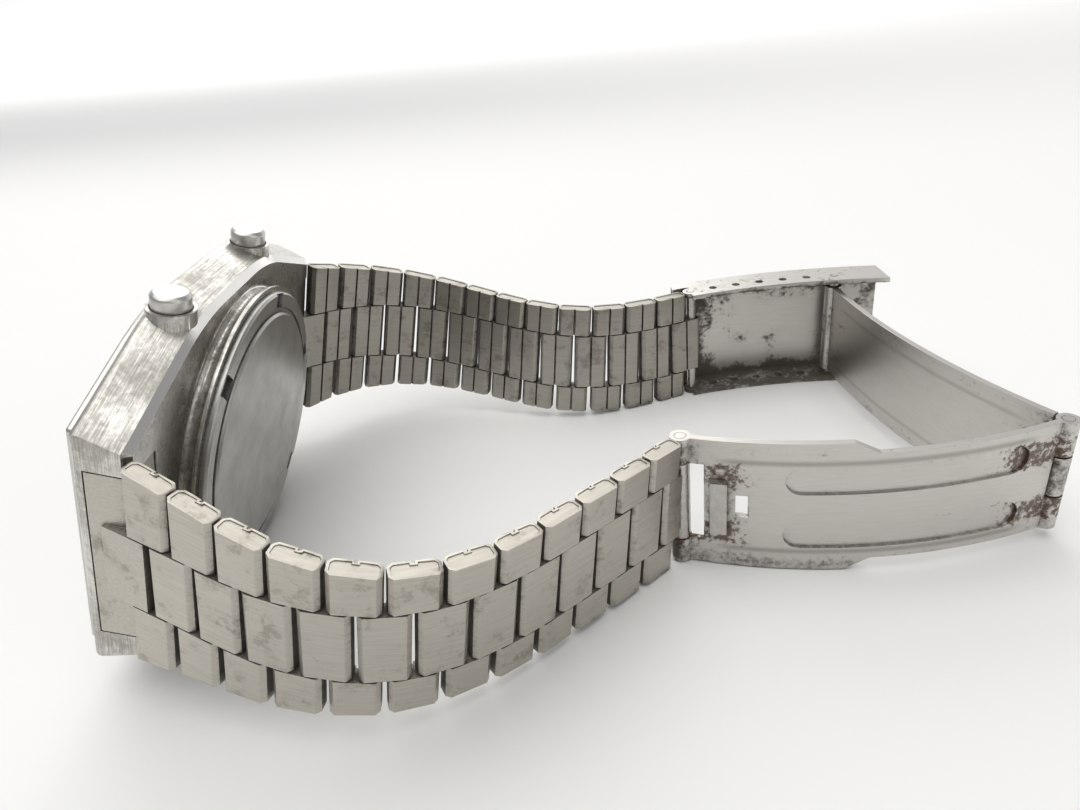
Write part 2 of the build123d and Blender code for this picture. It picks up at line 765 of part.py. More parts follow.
with BuildPart() as clasp_cover:
    with BuildSketch(across(cover_frame, 0)):
        add(bowed_band(plate_outside, plate_inside, -cover_lead, cover_end))
    extrude(amount=cover_width / 2, both=True)
    for side in (-1, 1):
        with BuildSketch(across(cover_frame, side * (cover_width / 2 - cover_wall))):
            add(bowed_band(plate_outside, flange_edge, 0, cover_end))
            add(bowed_band(plate_outside, cover_bow_radius + flange_relief, -cover_lead, 0))
            Circle(flange_nose_radius)
            with Locations((half_reach, bow_centre)):
                with PolarLocations(
                    cover_bow_radius, adjust_holes, first_turn - 90, hole_turn * adjust_holes, False
                ):
                    Circle(bar_tip_radius + running_clearance, mode=Mode.SUBTRACT)
            with Locations((hinge_bar_reach, 0)):
                Circle(bar_tip_radius + running_clearance, mode=Mode.SUBTRACT)
        extrude(amount=side * cover_wall)
clasp_cover.part.label = "clasp_cover"
export_step(clasp_cover.part, "parts/clasp_cover.step")

# Spring bar of the far half, in the first adjusting hole, and the cover's hinge bar
bar_body = cover_width / 2 - cover_wall - running_clearance
with BuildPart() as adjust_bar:
    with BuildSketch(across(cover_frame, 0)):
        Circle(bar_radius)
    extrude(amount=bar_body, both=True)
    with BuildSketch(across(cover_frame, 0)):
        Circle(bar_tip_radius)
    extrude(amount=cover_width / 2, both=True)
adjust_bar.part.label = "adjust_bar"
export_step(adjust_bar.part, "parts/adjust_bar.step")

with BuildPart() as hinge_bar:
    with BuildSketch(across(cover_frame, 0)):
        with Locations((hinge_bar_reach, 0)):
            Circle(bar_radius)
    extrude(amount=bar_body, both=True)
    with BuildSketch(across(cover_frame, 0)):
        with Locations((hinge_bar_reach, 0)):
            Circle(bar_tip_radius)
    extrude(amount=cover_width / 2, both=True)
hinge_bar.part.label = "hinge_bar"
export_step(hinge_bar.part, "parts/hinge_bar.step")


# Folding blades
def blade_band(length, bow, outside, inside, start, end):
    """Bowed strip between the two pivots of a blade; a positive bow is towards the wrist."""
    radius = (length**2 / 4 + bow**2) / (2 * abs(bow))
    turn = 1 if bow > 0 else -1
    centre = bow - turn * radius
    near_side = radius + turn * inside
    far_side = radius + turn * outside
    with BuildSketch() as sketch:
        with Locations((length / 2, centre)):
            Circle(max(near_side, far_side))
            Circle(min(near_side, far_side), mode=Mode.SUBTRACT)
        with Locations(((start + end) / 2, bow)):
            Rectangle(end - start, radius, mode=Mode.INTERSECT)
    return sketch.sketch


half_sheet = blade_thickness / 2
knuckle_clear = knuckle_radius + knuckle_gap
mid_clear = mid_knuckle_width / 2 + knuckle_gap
half_narrow = blade_narrow_width / 2
half_wide = blade_wide_width / 2

with BuildPart() as blade_a:
    with BuildSketch(across(blade_a_frame, 0)):
        add(blade_band(blade_a_length, blade_a_bow, half_sheet, -half_sheet, 0, blade_a_length))
    extrude(amount=half_narrow, both=True)
    with BuildSketch(across(blade_a_frame, 0)):
        Circle(knuckle_radius)
    extrude(amount=half_narrow, both=True)
    with BuildSketch(across(blade_a_frame, 0)):
        with Locations((blade_a_length, 0)):
            Circle(knuckle_clear)
    extrude(amount=half_narrow + overrun, both=True, mode=Mode.SUBTRACT)
    with BuildSketch(across(blade_a_frame, 0)):
        add(blade_band(blade_a_length, blade_a_bow, half_sheet, -half_sheet, blade_a_length / 2, blade_a_length))
        with Locations((blade_a_length, 0)):
            Circle(knuckle_radius)
    extrude(amount=mid_knuckle_width / 2, both=True)
    with BuildSketch(across(blade_a_frame, 0)):
        Circle(bar_radius + running_clearance)
        with Locations((blade_a_length, 0)):
            Circle(hinge_pin_radius + running_clearance)
    extrude(amount=half_narrow + overrun, both=True, mode=Mode.SUBTRACT)
blade_a.part.label = "blade_a"
export_step(blade_a.part, "parts/blade_a.step")

# Blade B is stepped: narrow at the mid hinge, as wide as the cover at its end knuckles
half_cut = (end_knuckle_width - half_wide) * -1
step_place = blade_b_length - blade_wide_reach
channel_start = channel_margin
channel_end = blade_b_length - channel_margin - latch_window_place
channel_middle = (channel_start + channel_end) / 2
blade_b_top = blade_b_frame.offset(0)

with BuildPart() as channels:
    with BuildSketch(blade_b_top):
        for side in (-1, 1):
            with Locations((channel_middle, side * channel_spacing / 2)):
                SlotOverall(channel_end - channel_start, channel_width)
    extrude(amount=blade_b_bow + knuckle_radius + overrun)

with BuildPart() as channel_recess:
    with BuildSketch(across(blade_b_frame, 0)):
        add(
            blade_band(
                blade_b_length, -blade_b_bow, -half_sheet - overrun, channel_depth - half_sheet, 0, blade_b_length
            )
        )
    extrude(amount=half_wide, both=True)
    add(channels.part, mode=Mode.INTERSECT)

with BuildPart() as channel_relief:
    with BuildSketch(across(blade_b_frame, 0)):
        add(
            blade_band(
                blade_b_length, -blade_b_bow, half_sheet + channel_depth, 0, 0, blade_b_length
            )
        )
    extrude(amount=half_wide, both=True)
    add(channels.part, mode=Mode.INTERSECT)

with BuildPart() as blade_b:
    with BuildSketch(across(blade_b_frame, 0)):
        add(blade_band(blade_b_length, -blade_b_bow, half_sheet, -half_sheet, 0, blade_b_length))
    extrude(amount=half_wide, both=True)
    with BuildSketch(blade_b_top.offset(-overrun - knuckle_radius)):
        with BuildLine():
            Polyline(
                (0, half_narrow),
                (step_place - blade_step_length, half_narrow),
                (step_place, half_wide),
                (blade_b_length, half_wide),
                (blade_b_length, -half_wide),
                (step_place, -half_wide),
                (step_place - blade_step_length, -half_narrow),
                (0, -half_narrow),
                close=True,
            )
        make_face()
    extrude(amount=blade_b_bow + 2 * (overrun + knuckle_radius), mode=Mode.INTERSECT)
    add(channel_relief.part)
    add(channel_recess.part, mode=Mode.SUBTRACT)
    # Window behind the end knuckles and the slot under the latch
    with BuildSketch(blade_b_top.offset(-overrun - knuckle_radius)):
        with Locations((blade_b_length, 0)):
            Rectangle(2 * end_tab_length, 2 * half_cut)
        with Locations((blade_b_length - latch_window_place, 0)):
            Rectangle(latch_window_length, latch_window_width)
    extrude(amount=blade_b_bow + 2 * (overrun + knuckle_radius), mode=Mode.SUBTRACT)
    # Knuckles of both ends
    with BuildSketch(across(blade_b_frame, 0)):
        Circle(knuckle_clear)
    extrude(amount=mid_clear, both=True, mode=Mode.SUBTRACT)
    for side in (-1, 1):
        with BuildSketch(across(blade_b_frame, side * mid_clear)):
            Circle(knuckle_radius)
        extrude(amount=side * (half_narrow - mid_clear))
        with BuildSketch(across(blade_b_frame, side * half_cut)):
            with Locations((blade_b_length, 0)):
                Circle(knuckle_radius)
        extrude(amount=side * end_knuckle_width)
    with BuildSketch(across(blade_b_frame, 0)):
        with Locations((0, 0), (blade_b_length, 0)):
            Circle(hinge_pin_radius + running_clearance)
    extrude(amount=half_wide + overrun, both=True, mode=Mode.SUBTRACT)
blade_b.part.label = "blade_b"
export_step(blade_b.part, "parts/blade_b.step")

with BuildPart() as mid_hinge_pin:
    with BuildSketch(across(blade_b_frame, 0)):
        Circle(hinge_pin_radius)
    extrude(amount=half_narrow, both=True)
mid_hinge_pin.part.label = "mid_hinge_pin"
export_step(mid_hinge_pin.part, "parts/mid_hinge_pin.step")

with BuildPart() as end_pin:
    with BuildSketch(across(blade_b_frame, 0)):
        with Locations((blade_b_length, 0)):
            Circle(hinge_pin_radius)
    extrude(amount=half_wide, both=True)
end_pin.part.label = "end_pin"
export_step(end_pin.part, "parts/end_pin.step")

with BuildPart() as end_sleeve:
    with BuildSketch(across(blade_b_frame, 0)):
        with Locations((blade_b_length, 0)):
            Circle(sleeve_radius)
            Circle(hinge_pin_radius + running_clearance, mode=Mode.SUBTRACT)
    extrude(amount=half_cut - running_clearance, both=True)
end_sleeve.part.label = "end_sleeve"
export_step(end_sleeve.part, "parts/end_sleeve.step")

# Latch spring: an arched strip on the face of blade B, seated on its bowed sheet
with BuildPart() as latch_spring:
    with BuildSketch(across(blade_b_frame, 0)):
        add(
            blade_band(
                blade_b_length,
                -blade_b_bow,
                -half_sheet - seat_clearance,
                -half_sheet - seat_clearance - latch_rise,
                blade_b_length - latch_place - latch_length / 2,
                blade_b_length - latch_place + latch_length / 2,
            )
        )
    extrude(amount=latch_width / 2, both=True)
    with BuildSketch(across(blade_b_frame, 0)):
        add(
            blade_band(
                blade_b_length,
                -blade_b_bow,
                -half_sheet,
                -half_sheet - seat_clearance - latch_rise + latch_thickness,
                blade_b_length - latch_place - latch_length,
                blade_b_length - latch_place + latch_length,
            )
        )
    extrude(amount=latch_width / 2 - latch_thickness, both=True, mode=Mode.SUBTRACT)
latch_spring.part.label = "latch_spring"
export_step(latch_spring.part, "parts/latch_spring.step")
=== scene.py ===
import json
import math

import bpy
from mathutils import Matrix, Vector


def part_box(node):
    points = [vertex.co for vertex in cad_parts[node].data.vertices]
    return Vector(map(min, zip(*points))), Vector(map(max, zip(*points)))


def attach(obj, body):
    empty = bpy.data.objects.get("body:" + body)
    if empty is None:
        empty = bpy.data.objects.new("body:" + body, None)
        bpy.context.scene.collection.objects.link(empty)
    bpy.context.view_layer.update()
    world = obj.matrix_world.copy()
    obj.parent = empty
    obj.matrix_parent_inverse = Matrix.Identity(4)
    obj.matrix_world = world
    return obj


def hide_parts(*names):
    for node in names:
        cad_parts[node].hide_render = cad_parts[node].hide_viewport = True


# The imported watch: its nodes, and which body and joint each piece belongs to
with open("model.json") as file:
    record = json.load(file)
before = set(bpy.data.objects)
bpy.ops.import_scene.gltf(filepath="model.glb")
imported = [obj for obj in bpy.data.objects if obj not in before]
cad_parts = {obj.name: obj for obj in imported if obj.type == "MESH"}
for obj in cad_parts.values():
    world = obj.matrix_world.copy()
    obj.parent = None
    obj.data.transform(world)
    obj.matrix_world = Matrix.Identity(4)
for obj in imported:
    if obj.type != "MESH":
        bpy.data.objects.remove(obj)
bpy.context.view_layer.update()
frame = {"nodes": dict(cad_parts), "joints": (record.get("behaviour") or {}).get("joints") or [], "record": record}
body_of_node = {
    node: body for body, nodes in frame["record"]["behaviour"]["bodies"].items() for node in nodes
}
joint_named = {joint["name"]: joint for joint in frame["joints"]}

# Camera: a short lens a little above the table, looking down at the standing watch. Its
# place and turn are fitted to the pitch of the bracelet in the photograph
camera_place = Vector((-0.00373, -0.0835, 0.0622))
camera_right = Vector((0.99315, -0.05689, -0.10206))
camera_down = Vector((-0.11684, -0.48354, -0.86749))
camera_forward = Vector((0.0, 0.87347, -0.48687))
camera_data = bpy.data.cameras.new("camera")
camera_data.sensor_width = 36.0
camera_data.lens = 27.03
camera_data.clip_start = 0.001
camera = bpy.data.objects.new("camera", camera_data)
bpy.context.scene.collection.objects.link(camera)
camera.matrix_world = Matrix(
    (
        (camera_right.x, -camera_down.x, -camera_forward.x, camera_place.x),
        (camera_right.y, -camera_down.y, -camera_forward.y, camera_place.y),
        (camera_right.z, -camera_down.z, -camera_forward.z, camera_place.z),
        (0.0, 0.0, 0.0, 1.0),
    )
)
bpy.context.scene.camera = camera
bpy.context.scene.view_settings.view_transform = "Standard"


# Shader maths: sockets add Math nodes when they are used in sums and products
class Wire:
    """A shader socket that can be used like a number."""

    def __init__(self, finish, socket):
        self.finish = finish
        self.socket = socket

    def maths(self, operation, first, second=None, third=None):
        values = [value for value in (first, second, third) if value is not None]
        return self.finish.node("ShaderNodeMath", {"operation": operation}, dict(enumerate(values)))

    def __add__(self, other):
        return self.maths("ADD", self, other)

    def __radd__(self, other):
        return self.maths("ADD", other, self)

    def __sub__(self, other):
        return self.maths("SUBTRACT", self, other)

    def __rsub__(self, other):
        return self.maths("SUBTRACT", other, self)

    def __mul__(self, other):
        return self.maths("MULTIPLY", self, other)

    def __rmul__(self, other):
        return self.maths("MULTIPLY", other, self)

    def __truediv__(self, other):
        return self.maths("DIVIDE", self, other)

    def __pow__(self, other):
        return self.maths("POWER", self, other)

    def size(self):
        return self.maths("ABSOLUTE", self)

    def low(self, other):
        return self.maths("MINIMUM", self, other)

    def high(self, other):
        return self.maths("MAXIMUM", self, other)

    def step(self, start, end):
        """0 before start and 1 after end, smooth between them."""
        return self.finish.node(
            "ShaderNodeMapRange",
            {"interpolation_type": "SMOOTHSTEP", "clamp": True},
            {"Value": self, "From Min": start, "From Max": end},
        )


class Finish:
    """A material under construction."""

    def __init__(self, name):
        self.material = bpy.data.materials.new(name)
        self.material.use_nodes = True
        self.tree = self.material.node_tree
        self.shader = self.tree.nodes["Principled BSDF"]

    def set(self, socket, value):
        if isinstance(value, Wire):
            self.tree.links.new(value.socket, socket)
        elif socket.type == "RGBA" and len(value) == 3:
            socket.default_value = (*value, 1.0)
        else:
            socket.default_value = value

    def node(self, kind, settings, values, output=0):
        node = self.tree.nodes.new(kind)
        for name, value in settings.items():
            setattr(node, name, value)
        for name, value in values.items():
            self.set(node.inputs[name], value)
        return Wire(self, node.outputs[output])

    def place(self, origin=(0.0, 0.0, 0.0), turn=(0.0, 0.0, 0.0)):
        """Object coordinates, counted from an origin along turned axes."""
        point = self.node("ShaderNodeTexCoord", {}, {}, "Object")
        return self.node(
            "ShaderNodeMapping",
            {"vector_type": "TEXTURE"},
            {"Vector": point, "Location": origin, "Rotation": turn},
        )

    def parts(self, point):
        """The three numbers of a place."""
        node = self.tree.nodes.new("ShaderNodeSeparateXYZ")
        self.tree.links.new(point.socket, node.inputs[0])
        return [Wire(self, output) for output in node.outputs]

    def stretched(self, point, scale):
        return self.node("ShaderNodeVectorMath", {"operation": "MULTIPLY"}, {0: point, 1: scale})

    def noise(self, point, scale, detail=3.0, rough=0.5):
        return self.node(
            "ShaderNodeTexNoise",
            {},
            {"Vector": point, "Scale": scale, "Detail": detail, "Roughness": rough},
        )

    def mix(self, share, first, second):
        """A colour between two colours."""
        node = self.tree.nodes.new("ShaderNodeMix")
        node.data_type = "RGBA"
        self.set(node.inputs[0], share)
        self.set(node.inputs[6], first)
        self.set(node.inputs[7], second)
        return Wire(self, node.outputs[2])

    def crevice(self, distance):
        """0 in the open and 1 in the narrowest gaps."""
        open_share = self.node(
            "ShaderNodeAmbientOcclusion", {"samples": 6}, {"Distance": distance}, "AO"
        )
        return 1.0 - open_share

    def bump(self, height, distance, strength=1.0):
        normal = self.node(
            "ShaderNodeBump", {}, {"Height": height, "Distance": distance, "Strength": strength}
        )
        self.set(self.shader.inputs["Normal"], normal)

    def shade(self, colour, roughness, metallic=1.0):
        self.set(self.shader.inputs["Base Color"], colour)
        self.set(self.shader.inputs["Roughness"], roughness)
        self.set(self.shader.inputs["Metallic"], metallic)


# Floor and backdrop: one sheet of pale paper that curves up far behind the watch. A faint
# grey band of painted shade crosses it on the left, and its far end glows white with painted light
paper = Finish("paper")
paper_x, paper_y, _ = paper.parts(paper.place())
band_slope = 0.22
band_line = paper_y + paper_x * band_slope
band_rise = band_line.step(0.16, 0.36)
band_fall = 1.0 - band_line.step(0.40, 0.62)
band_left = 1.0 - paper_x.step(-0.15, 0.35)
# The band is painted shade, greying the paper between two slanted lines on the left
painted_shade_band = band_rise * band_fall * band_left
paper_roughness = 0.9
paper_tone = (0.86, 0.86, 0.855)
painted_shade_tone = (0.62, 0.625, 0.63)
paper.shade(paper.mix(painted_shade_band, paper_tone, painted_shade_tone), paper_roughness, 0.0)
# Painted light: the paper's far end emits a glow of its own, rising towards the back
far_light = band_line.step(0.30, 1.0)
paper.set(
    paper.shader.inputs["Emission Color"],
    paper.mix(far_light, (0.0, 0.0, 0.0), (0.50, 0.50, 0.50)),
)
paper.shader.inputs["Emission Strength"].default_value = 1.0
bpy.ops.object.select_all(action="DESELECT")
sheet_size = 6.0
curve_start = 0.9
curve_steepness = 0.8
bpy.ops.mesh.primitive_grid_add(
    x_subdivisions=2, y_subdivisions=24, size=sheet_size, location=(0.0, 0.0, 0.0)
)
sweep = bpy.context.object
sweep.name = "paper_sweep"
for vertex in sweep.data.vertices:
    beyond = max(0.0, vertex.co.y - curve_start)
    vertex.co.z = beyond**2 * curve_steepness
sweep.data.materials.append(paper.material)
bpy.ops.object.shade_smooth()

# Light: a large soft lamp overhead, a wide bright one low behind the watch that the upper
# faces mirror, a weak one on the right, and an even surround, dim but white to the camera
for name, place, target, width, power, colour in (
    ("key_lamp", (-0.12, -0.04, 0.85), (0.0, 0.0, 0.0), 1.05, 6.2, (1.0, 0.99, 0.97)),
    ("window_lamp", (-0.15, 0.95, 0.62), (0.0, 0.0, 0.0), 0.9, 3.6, (1.0, 0.985, 0.95)),
    ("fill_lamp", (0.6, -0.4, 0.35), (0.0, 0.0, 0.0), 0.5, 0.8, (1.0, 0.99, 0.98)),
):
    lamp_data = bpy.data.lights.new(name, "AREA")
    lamp_data.shape = "SQUARE"
    lamp_data.size = width
    lamp_data.energy = power
    lamp_data.color = colour
    lamp = bpy.data.objects.new(name, lamp_data)
    bpy.context.scene.collection.objects.link(lamp)
    lamp.location = place
    lamp.rotation_euler = (Vector(target) - Vector(place)).to_track_quat("-Z", "Y").to_euler()
world = bpy.data.worlds.new("surround")
bpy.context.scene.world = world
world.use_nodes = True
surround = world.node_tree
surround_strength = 0.40
dim = surround.nodes["Background"]
dim.inputs["Color"].default_value = (0.80, 0.80, 0.81, 1.0)
dim.inputs["Strength"].default_value = surround_strength
white = surround.nodes.new("ShaderNodeBackground")
white.inputs["Color"].default_value = (1.0, 1.0, 1.0, 1.0)
white.inputs["Strength"].default_value = 1.0
seen = surround.nodes.new("ShaderNodeMixShader")
rays = surround.nodes.new("ShaderNodeLightPath")
surround.links.new(rays.outputs["Is Camera Ray"], seen.inputs["Fac"])
surround.links.new(dim.outputs["Background"], seen.inputs[1])
surround.links.new(white.outputs["Background"], seen.inputs[2])
surround.links.new(seen.outputs["Shader"], surround.nodes["World Output"].inputs["Surface"])


# Bracelet: 24 pitches of folded steel strip on drawn pins, brushed along the bracelet. The
# fold rounds their edges and shows at the open ends, and dirt and painted shade darken where the links meet
merge_distance = 0.000002
flat_angle = 1.0


def weigh_normals(piece):
    """Lets the large faces set the normals, so that flat faces look flat up to their edges."""
    weighed = piece.modifiers.new("weighed_normals", "WEIGHTED_NORMAL")
    weighed.keep_sharp = True
    bpy.ops.object.modifier_apply(modifier=weighed.name)


def dressed(node, edge, segments=2, limit=40.0, smooth=35.0):
    """Replaces a piece by a copy with its facets merged and its edges broken.

    Edges sharper than limit are broken, and those under smooth are shaded round.
    """
    source = frame["nodes"][node]
    bpy.ops.object.select_all(action="DESELECT")
    piece = source.copy()
    piece.data = source.data.copy()
    piece.name = node + "_steel"
    piece.parent = None
    for key in list(piece.keys()):
        del piece[key]
    bpy.context.scene.collection.objects.link(piece)
    piece.select_set(True)
    bpy.context.view_layer.objects.active = piece
    bpy.ops.mesh.customdata_custom_splitnormals_clear()
    bpy.ops.object.mode_set(mode="EDIT")
    bpy.ops.mesh.select_all(action="SELECT")
    bpy.ops.mesh.remove_doubles(threshold=merge_distance)
    bpy.ops.mesh.dissolve_limited(angle_limit=math.radians(flat_angle))
    bpy.ops.object.mode_set(mode="OBJECT")
    broken = piece.modifiers.new("broken_edges", "BEVEL")
    broken.width = edge
    broken.segments = segments
    broken.limit_method = "ANGLE"
    broken.angle_limit = math.radians(limit)
    bpy.ops.object.modifier_apply(modifier=broken.name)
    bpy.ops.object.shade_smooth_by_angle(angle=math.radians(smooth))
    weigh_normals(piece)
    piece.data.materials.clear()
    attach(piece, body_of_node[node])
    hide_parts(node)
    return piece


def frame_of(place, run, pin):
    """Matrix of a piece's own axes: X along its run, Y along its pin, Z outwards."""
    across = Vector(pin).normalized()
    outward = Vector(run).cross(across).normalized()
    along = across.cross(outward)
    matrix = Matrix((along, across, outward)).transposed().to_4x4()
    matrix.translation = Vector(place)
    return matrix


def keep_strip(piece, matrix, shift):
    """Stores each point's place on its own strip, for the brushing to follow."""
    inverse = matrix.inverted()
    strip = piece.data.attributes.new("strip", "FLOAT_VECTOR", "POINT")
    for vertex, value in zip(piece.data.vertices, strip.data):
        local = inverse @ vertex.co
        value.vector = (local.x + shift, local.y, local.z)


def strip_steel(name, tone, soiling_and_shade):
    """Brushed strip steel, soiled brown and darkened with painted shade where the links meet."""
    steel = Finish(name)
    point = steel.node("ShaderNodeAttribute", {"attribute_name": "strip"}, {}, "Vector")
    brushed = steel.noise(steel.stretched(point, (260.0, 5200.0, 2600.0)), 1.0, 2.0)
    fine = steel.noise(steel.stretched(point, (900.0, 14000.0, 6000.0)), 1.0, 2.0)
    cloud = steel.noise(point, 330.0, 4.0)
    spots = steel.noise(point, 1500.0, 5.0, 0.65)
    gap = steel.crevice(0.0021)
    # Dirt patches, plus painted shade in the gaps between links from the crevice term
    dirt_and_shade = (gap * 1.5 + (spots - 0.5) * 0.9 + (cloud - 0.5) * 0.7).step(0.42, 0.88)
    stain = (cloud * 0.6 + spots * 0.4).step(0.53, 0.66) * 0.5
    bright = tuple(tone * share for share in (1.12, 1.07, 0.96))
    dull = tuple(tone * share for share in (0.84, 0.79, 0.70))
    stained = tuple(tone * share for share in (0.42, 0.36, 0.29))
    soil_and_shade_tone = (0.030, 0.021, 0.014)
    colour = steel.mix(dirt_and_shade * soiling_and_shade, steel.mix(stain, steel.mix(brushed, bright, dull), stained), soil_and_shade_tone)
    roughness = (brushed * 0.16 + cloud * 0.14 + dirt_and_shade * 0.35 + 0.20).low(0.85)
    steel.shade(colour, roughness, 1.0 - dirt_and_shade * 0.75)
    steel.bump(brushed * 0.6 + fine * 0.4 + spots * 0.25, 0.000012, 0.6)
    return steel.material


# The far half's copy is darker and more heavily soiled: painted shade on the links that face into the loop
near_steel = strip_steel("near_strip_steel", tone=0.50, soiling_and_shade=0.85)
far_shaded_steel = strip_steel("far_strip_steel_painted_shade", tone=0.37, soiling_and_shade=0.95)
link_edge = 0.00013
end_lean = 0.0005
end_facing = 0.97
fold_outline = 0.00026
fold_line = 0.00004
fold_recess = 0.00009
fold_smooth = 30.0
brush_shift = 0.0173
for half, links_steel in (("near", near_steel), ("far", far_shaded_steel)):
    for number in range(1, 13):
        joint = joint_named[f"{half}_{number:02d}_pin"]
        place = Vector(joint["pos_m"])
        pin = Vector(joint["axis"])
        following = f"{half}_{number + 1:02d}_pin"
        if following in joint_named:
            run = Vector(joint_named[following]["pos_m"]) - place
        elif half == "far":
            run = Vector(joint_named["cover_pivot"]["pos_m"]) - place
        else:
            run = place - Vector(joint_named["near_11_pin"]["pos_m"])
        own_axes = frame_of(place, run, pin)
        link = dressed(f"{half}_link_{number:02d}", link_edge)
        # The fold shows as an outline round the open end of each outer strip
        reach = max(abs((own_axes.inverted() @ vertex.co).y) for vertex in link.data.vertices)
        bpy.ops.object.mode_set(mode="EDIT")
        bpy.ops.mesh.select_all(action="DESELECT")
        bpy.ops.object.mode_set(mode="OBJECT")
        for face in link.data.polygons:
            end_face = abs((own_axes.inverted() @ face.center).y) > reach - end_lean
            face.select = end_face and abs(face.normal.dot(pin)) > end_facing
        bpy.ops.object.mode_set(mode="EDIT")
        bpy.ops.mesh.select_mode(type="FACE")
        bpy.ops.mesh.inset(thickness=fold_outline, depth=0.0, use_even_offset=False)
        bpy.ops.mesh.inset(thickness=fold_line, depth=-fold_recess, use_even_offset=False)
        bpy.ops.object.mode_set(mode="OBJECT")
        bpy.ops.mesh.customdata_custom_splitnormals_clear()
        bpy.ops.object.shade_smooth_by_angle(angle=math.radians(fold_smooth))
        weigh_normals(link)
        keep_strip(link, own_axes, number * brush_shift)
        link.data.materials.append(links_steel)

# Case: machined from one piece of steel, with brushed flanks that are scuffed all over, a
# polished stripe along the back edge of the flanks and dirt and painted shade in the cove under the back
case_joint = joint_named["pusher_upper_press"]
case_up = -Vector(case_joint["axis"])
case_out = Vector(frame["record"]["mounts"][0]["axis"])
case_run = case_up.cross(case_out)
back_place = Vector(frame["record"]["mounts"][0]["pos_m"])
case_axes = Matrix((case_run, case_up, case_out)).transposed()
case_turn = tuple(case_axes.to_euler())
stripe_front = 0.0038
stripe_back = 0.0029
least_stripe_tilt = 0.62
most_stripe_tilt = 0.92

flank = Finish("scuffed_flank_steel")
flank_point = flank.place(tuple(back_place), case_turn)
flank_cloud = flank.noise(flank_point, 170.0, 5.0, 0.6)
flank_grain = flank.noise(flank.stretched(flank_point, (350.0, 350.0, 9000.0)), 1.0, 3.0)
flank_scuff = flank.noise(flank.stretched(flank_point, (7000.0, 420.0, 900.0)), 1.0, 4.0, 0.7)
flank_spots = flank.noise(flank_point, 1900.0, 4.0, 0.7)
flank_gap = flank.crevice(0.0036)
flank_patches = (flank_spots - 0.5) * 0.9 + (flank_cloud - 0.5) * 0.8
# Dirt patches, plus painted shade in the cove and recesses from the crevice term
flank_dirt_and_shade = (flank_gap * 1.35 + flank_patches).step(0.42, 0.95)
flank_wear = (flank_cloud * 0.45 + flank_grain * 0.3 + flank_spots * 0.25).step(0.38, 0.62)
flank_tone = flank.mix(flank_wear, (0.68, 0.665, 0.63), (0.34, 0.325, 0.295))
flank_colour = flank.mix(flank_dirt_and_shade * 0.8, flank_tone, (0.07, 0.05, 0.035))
flank.shade(
    flank_colour,
    (flank_wear * 0.22 + flank_scuff * 0.14 + flank_dirt_and_shade * 0.3 + 0.13).low(0.9),
    1.0 - flank_dirt_and_shade * 0.7,
)
flank.bump(flank_grain * 0.5 + flank_scuff * 0.5 + flank_spots * 0.5, 0.00002, 0.8)

polish = Finish("polished_stripe_steel")
polish_point = polish.place()
polish_cloud = polish.noise(polish_point, 420.0, 4.0)
polish.shade(
    polish.mix(polish_cloud, (0.92, 0.905, 0.875), (0.80, 0.785, 0.76)),
    polish_cloud * 0.10 + 0.07,
    1.0,
)
polish.bump(polish_cloud, 0.000006, 0.4)

case_edge = 0.00012
turned_limit = 28.0
case = dressed("case_body", case_edge, limit=turned_limit)
case.data.materials.append(flank.material)
case.data.materials.append(polish.material)
for face in case.data.polygons:
    depth = (face.center - back_place).dot(case_out)
    tilt = face.normal.dot(case_out)
    if least_stripe_tilt < tilt < most_stripe_tilt and -stripe_front < depth < -stripe_back:
        face.material_index = 1

# End links: folded from the same strip as the bracelet, and held between the lugs by
# spring bars
for half, side in (("near", "near_01_pin"), ("far", "far_01_pin")):
    end_link = dressed(f"end_link_{half}", case_edge)
    joint = joint_named[side]
    keep_strip(end_link, frame_of(joint["pos_m"], case_run, joint["axis"]), 0.0)
    end_link.data.materials.append(near_steel if half == "near" else far_shaded_steel)

# Back: a turned and satin finished steel disc that screws down on the case. Six notches in
# its rim take the key, and dirt and painted shade darken them
back = Finish("satin_back_steel")
back_point = back.place(tuple(back_place), case_turn)
back_x, back_y, _ = back.parts(back_point)
back_radius = (back_x * back_x + back_y * back_y) ** 0.5
back_rings = back.noise(
    back.node("ShaderNodeCombineXYZ", {}, {"X": back_radius * 5200.0, "Y": 0.0, "Z": 0.0}), 1.0, 3.0
)
back_cloud = back.noise(back_point, 240.0, 5.0, 0.6)
back_speck = back.noise(back_point, 3200.0, 3.0, 0.7)
back_scuff = back.noise(back.stretched(back_point, (500.0, 6000.0, 800.0)), 1.0, 3.0)
# Specks of dirt, plus painted shade in the notches and crevices from the crevice term
back_dirt_and_shade = (back.crevice(0.0022) * 1.35 + (back_speck - 0.5) * 0.6).step(0.36, 0.85)
back_tone = back.mix(back_cloud.step(0.3, 0.75), (0.50, 0.495, 0.475), (0.38, 0.372, 0.355))
back.shade(
    back.mix(back_dirt_and_shade * 0.9, back_tone, (0.03, 0.024, 0.018)),
    (back_cloud * 0.16 + back_rings * 0.10 + back_dirt_and_shade * 0.4 + 0.22).low(0.9),
    1.0 - back_dirt_and_shade * 0.7,
)
back.bump(back_rings * 0.4 + back_scuff * 0.4 + back_speck * 0.3, 0.00001, 0.6)
back_edge = 0.00009
case_back = dressed("case_back", back_edge, limit=turned_limit, smooth=30.0)
case_back.data.materials.append(back.material)

# Pushers: turned steel caps that slide in wells in the case, held by clips inside. Dirt
# and painted shade darken the gap round them
cap = Finish("pusher_steel")
cap_point = cap.place()
cap_cloud = cap.noise(cap_point, 700.0, 4.0)
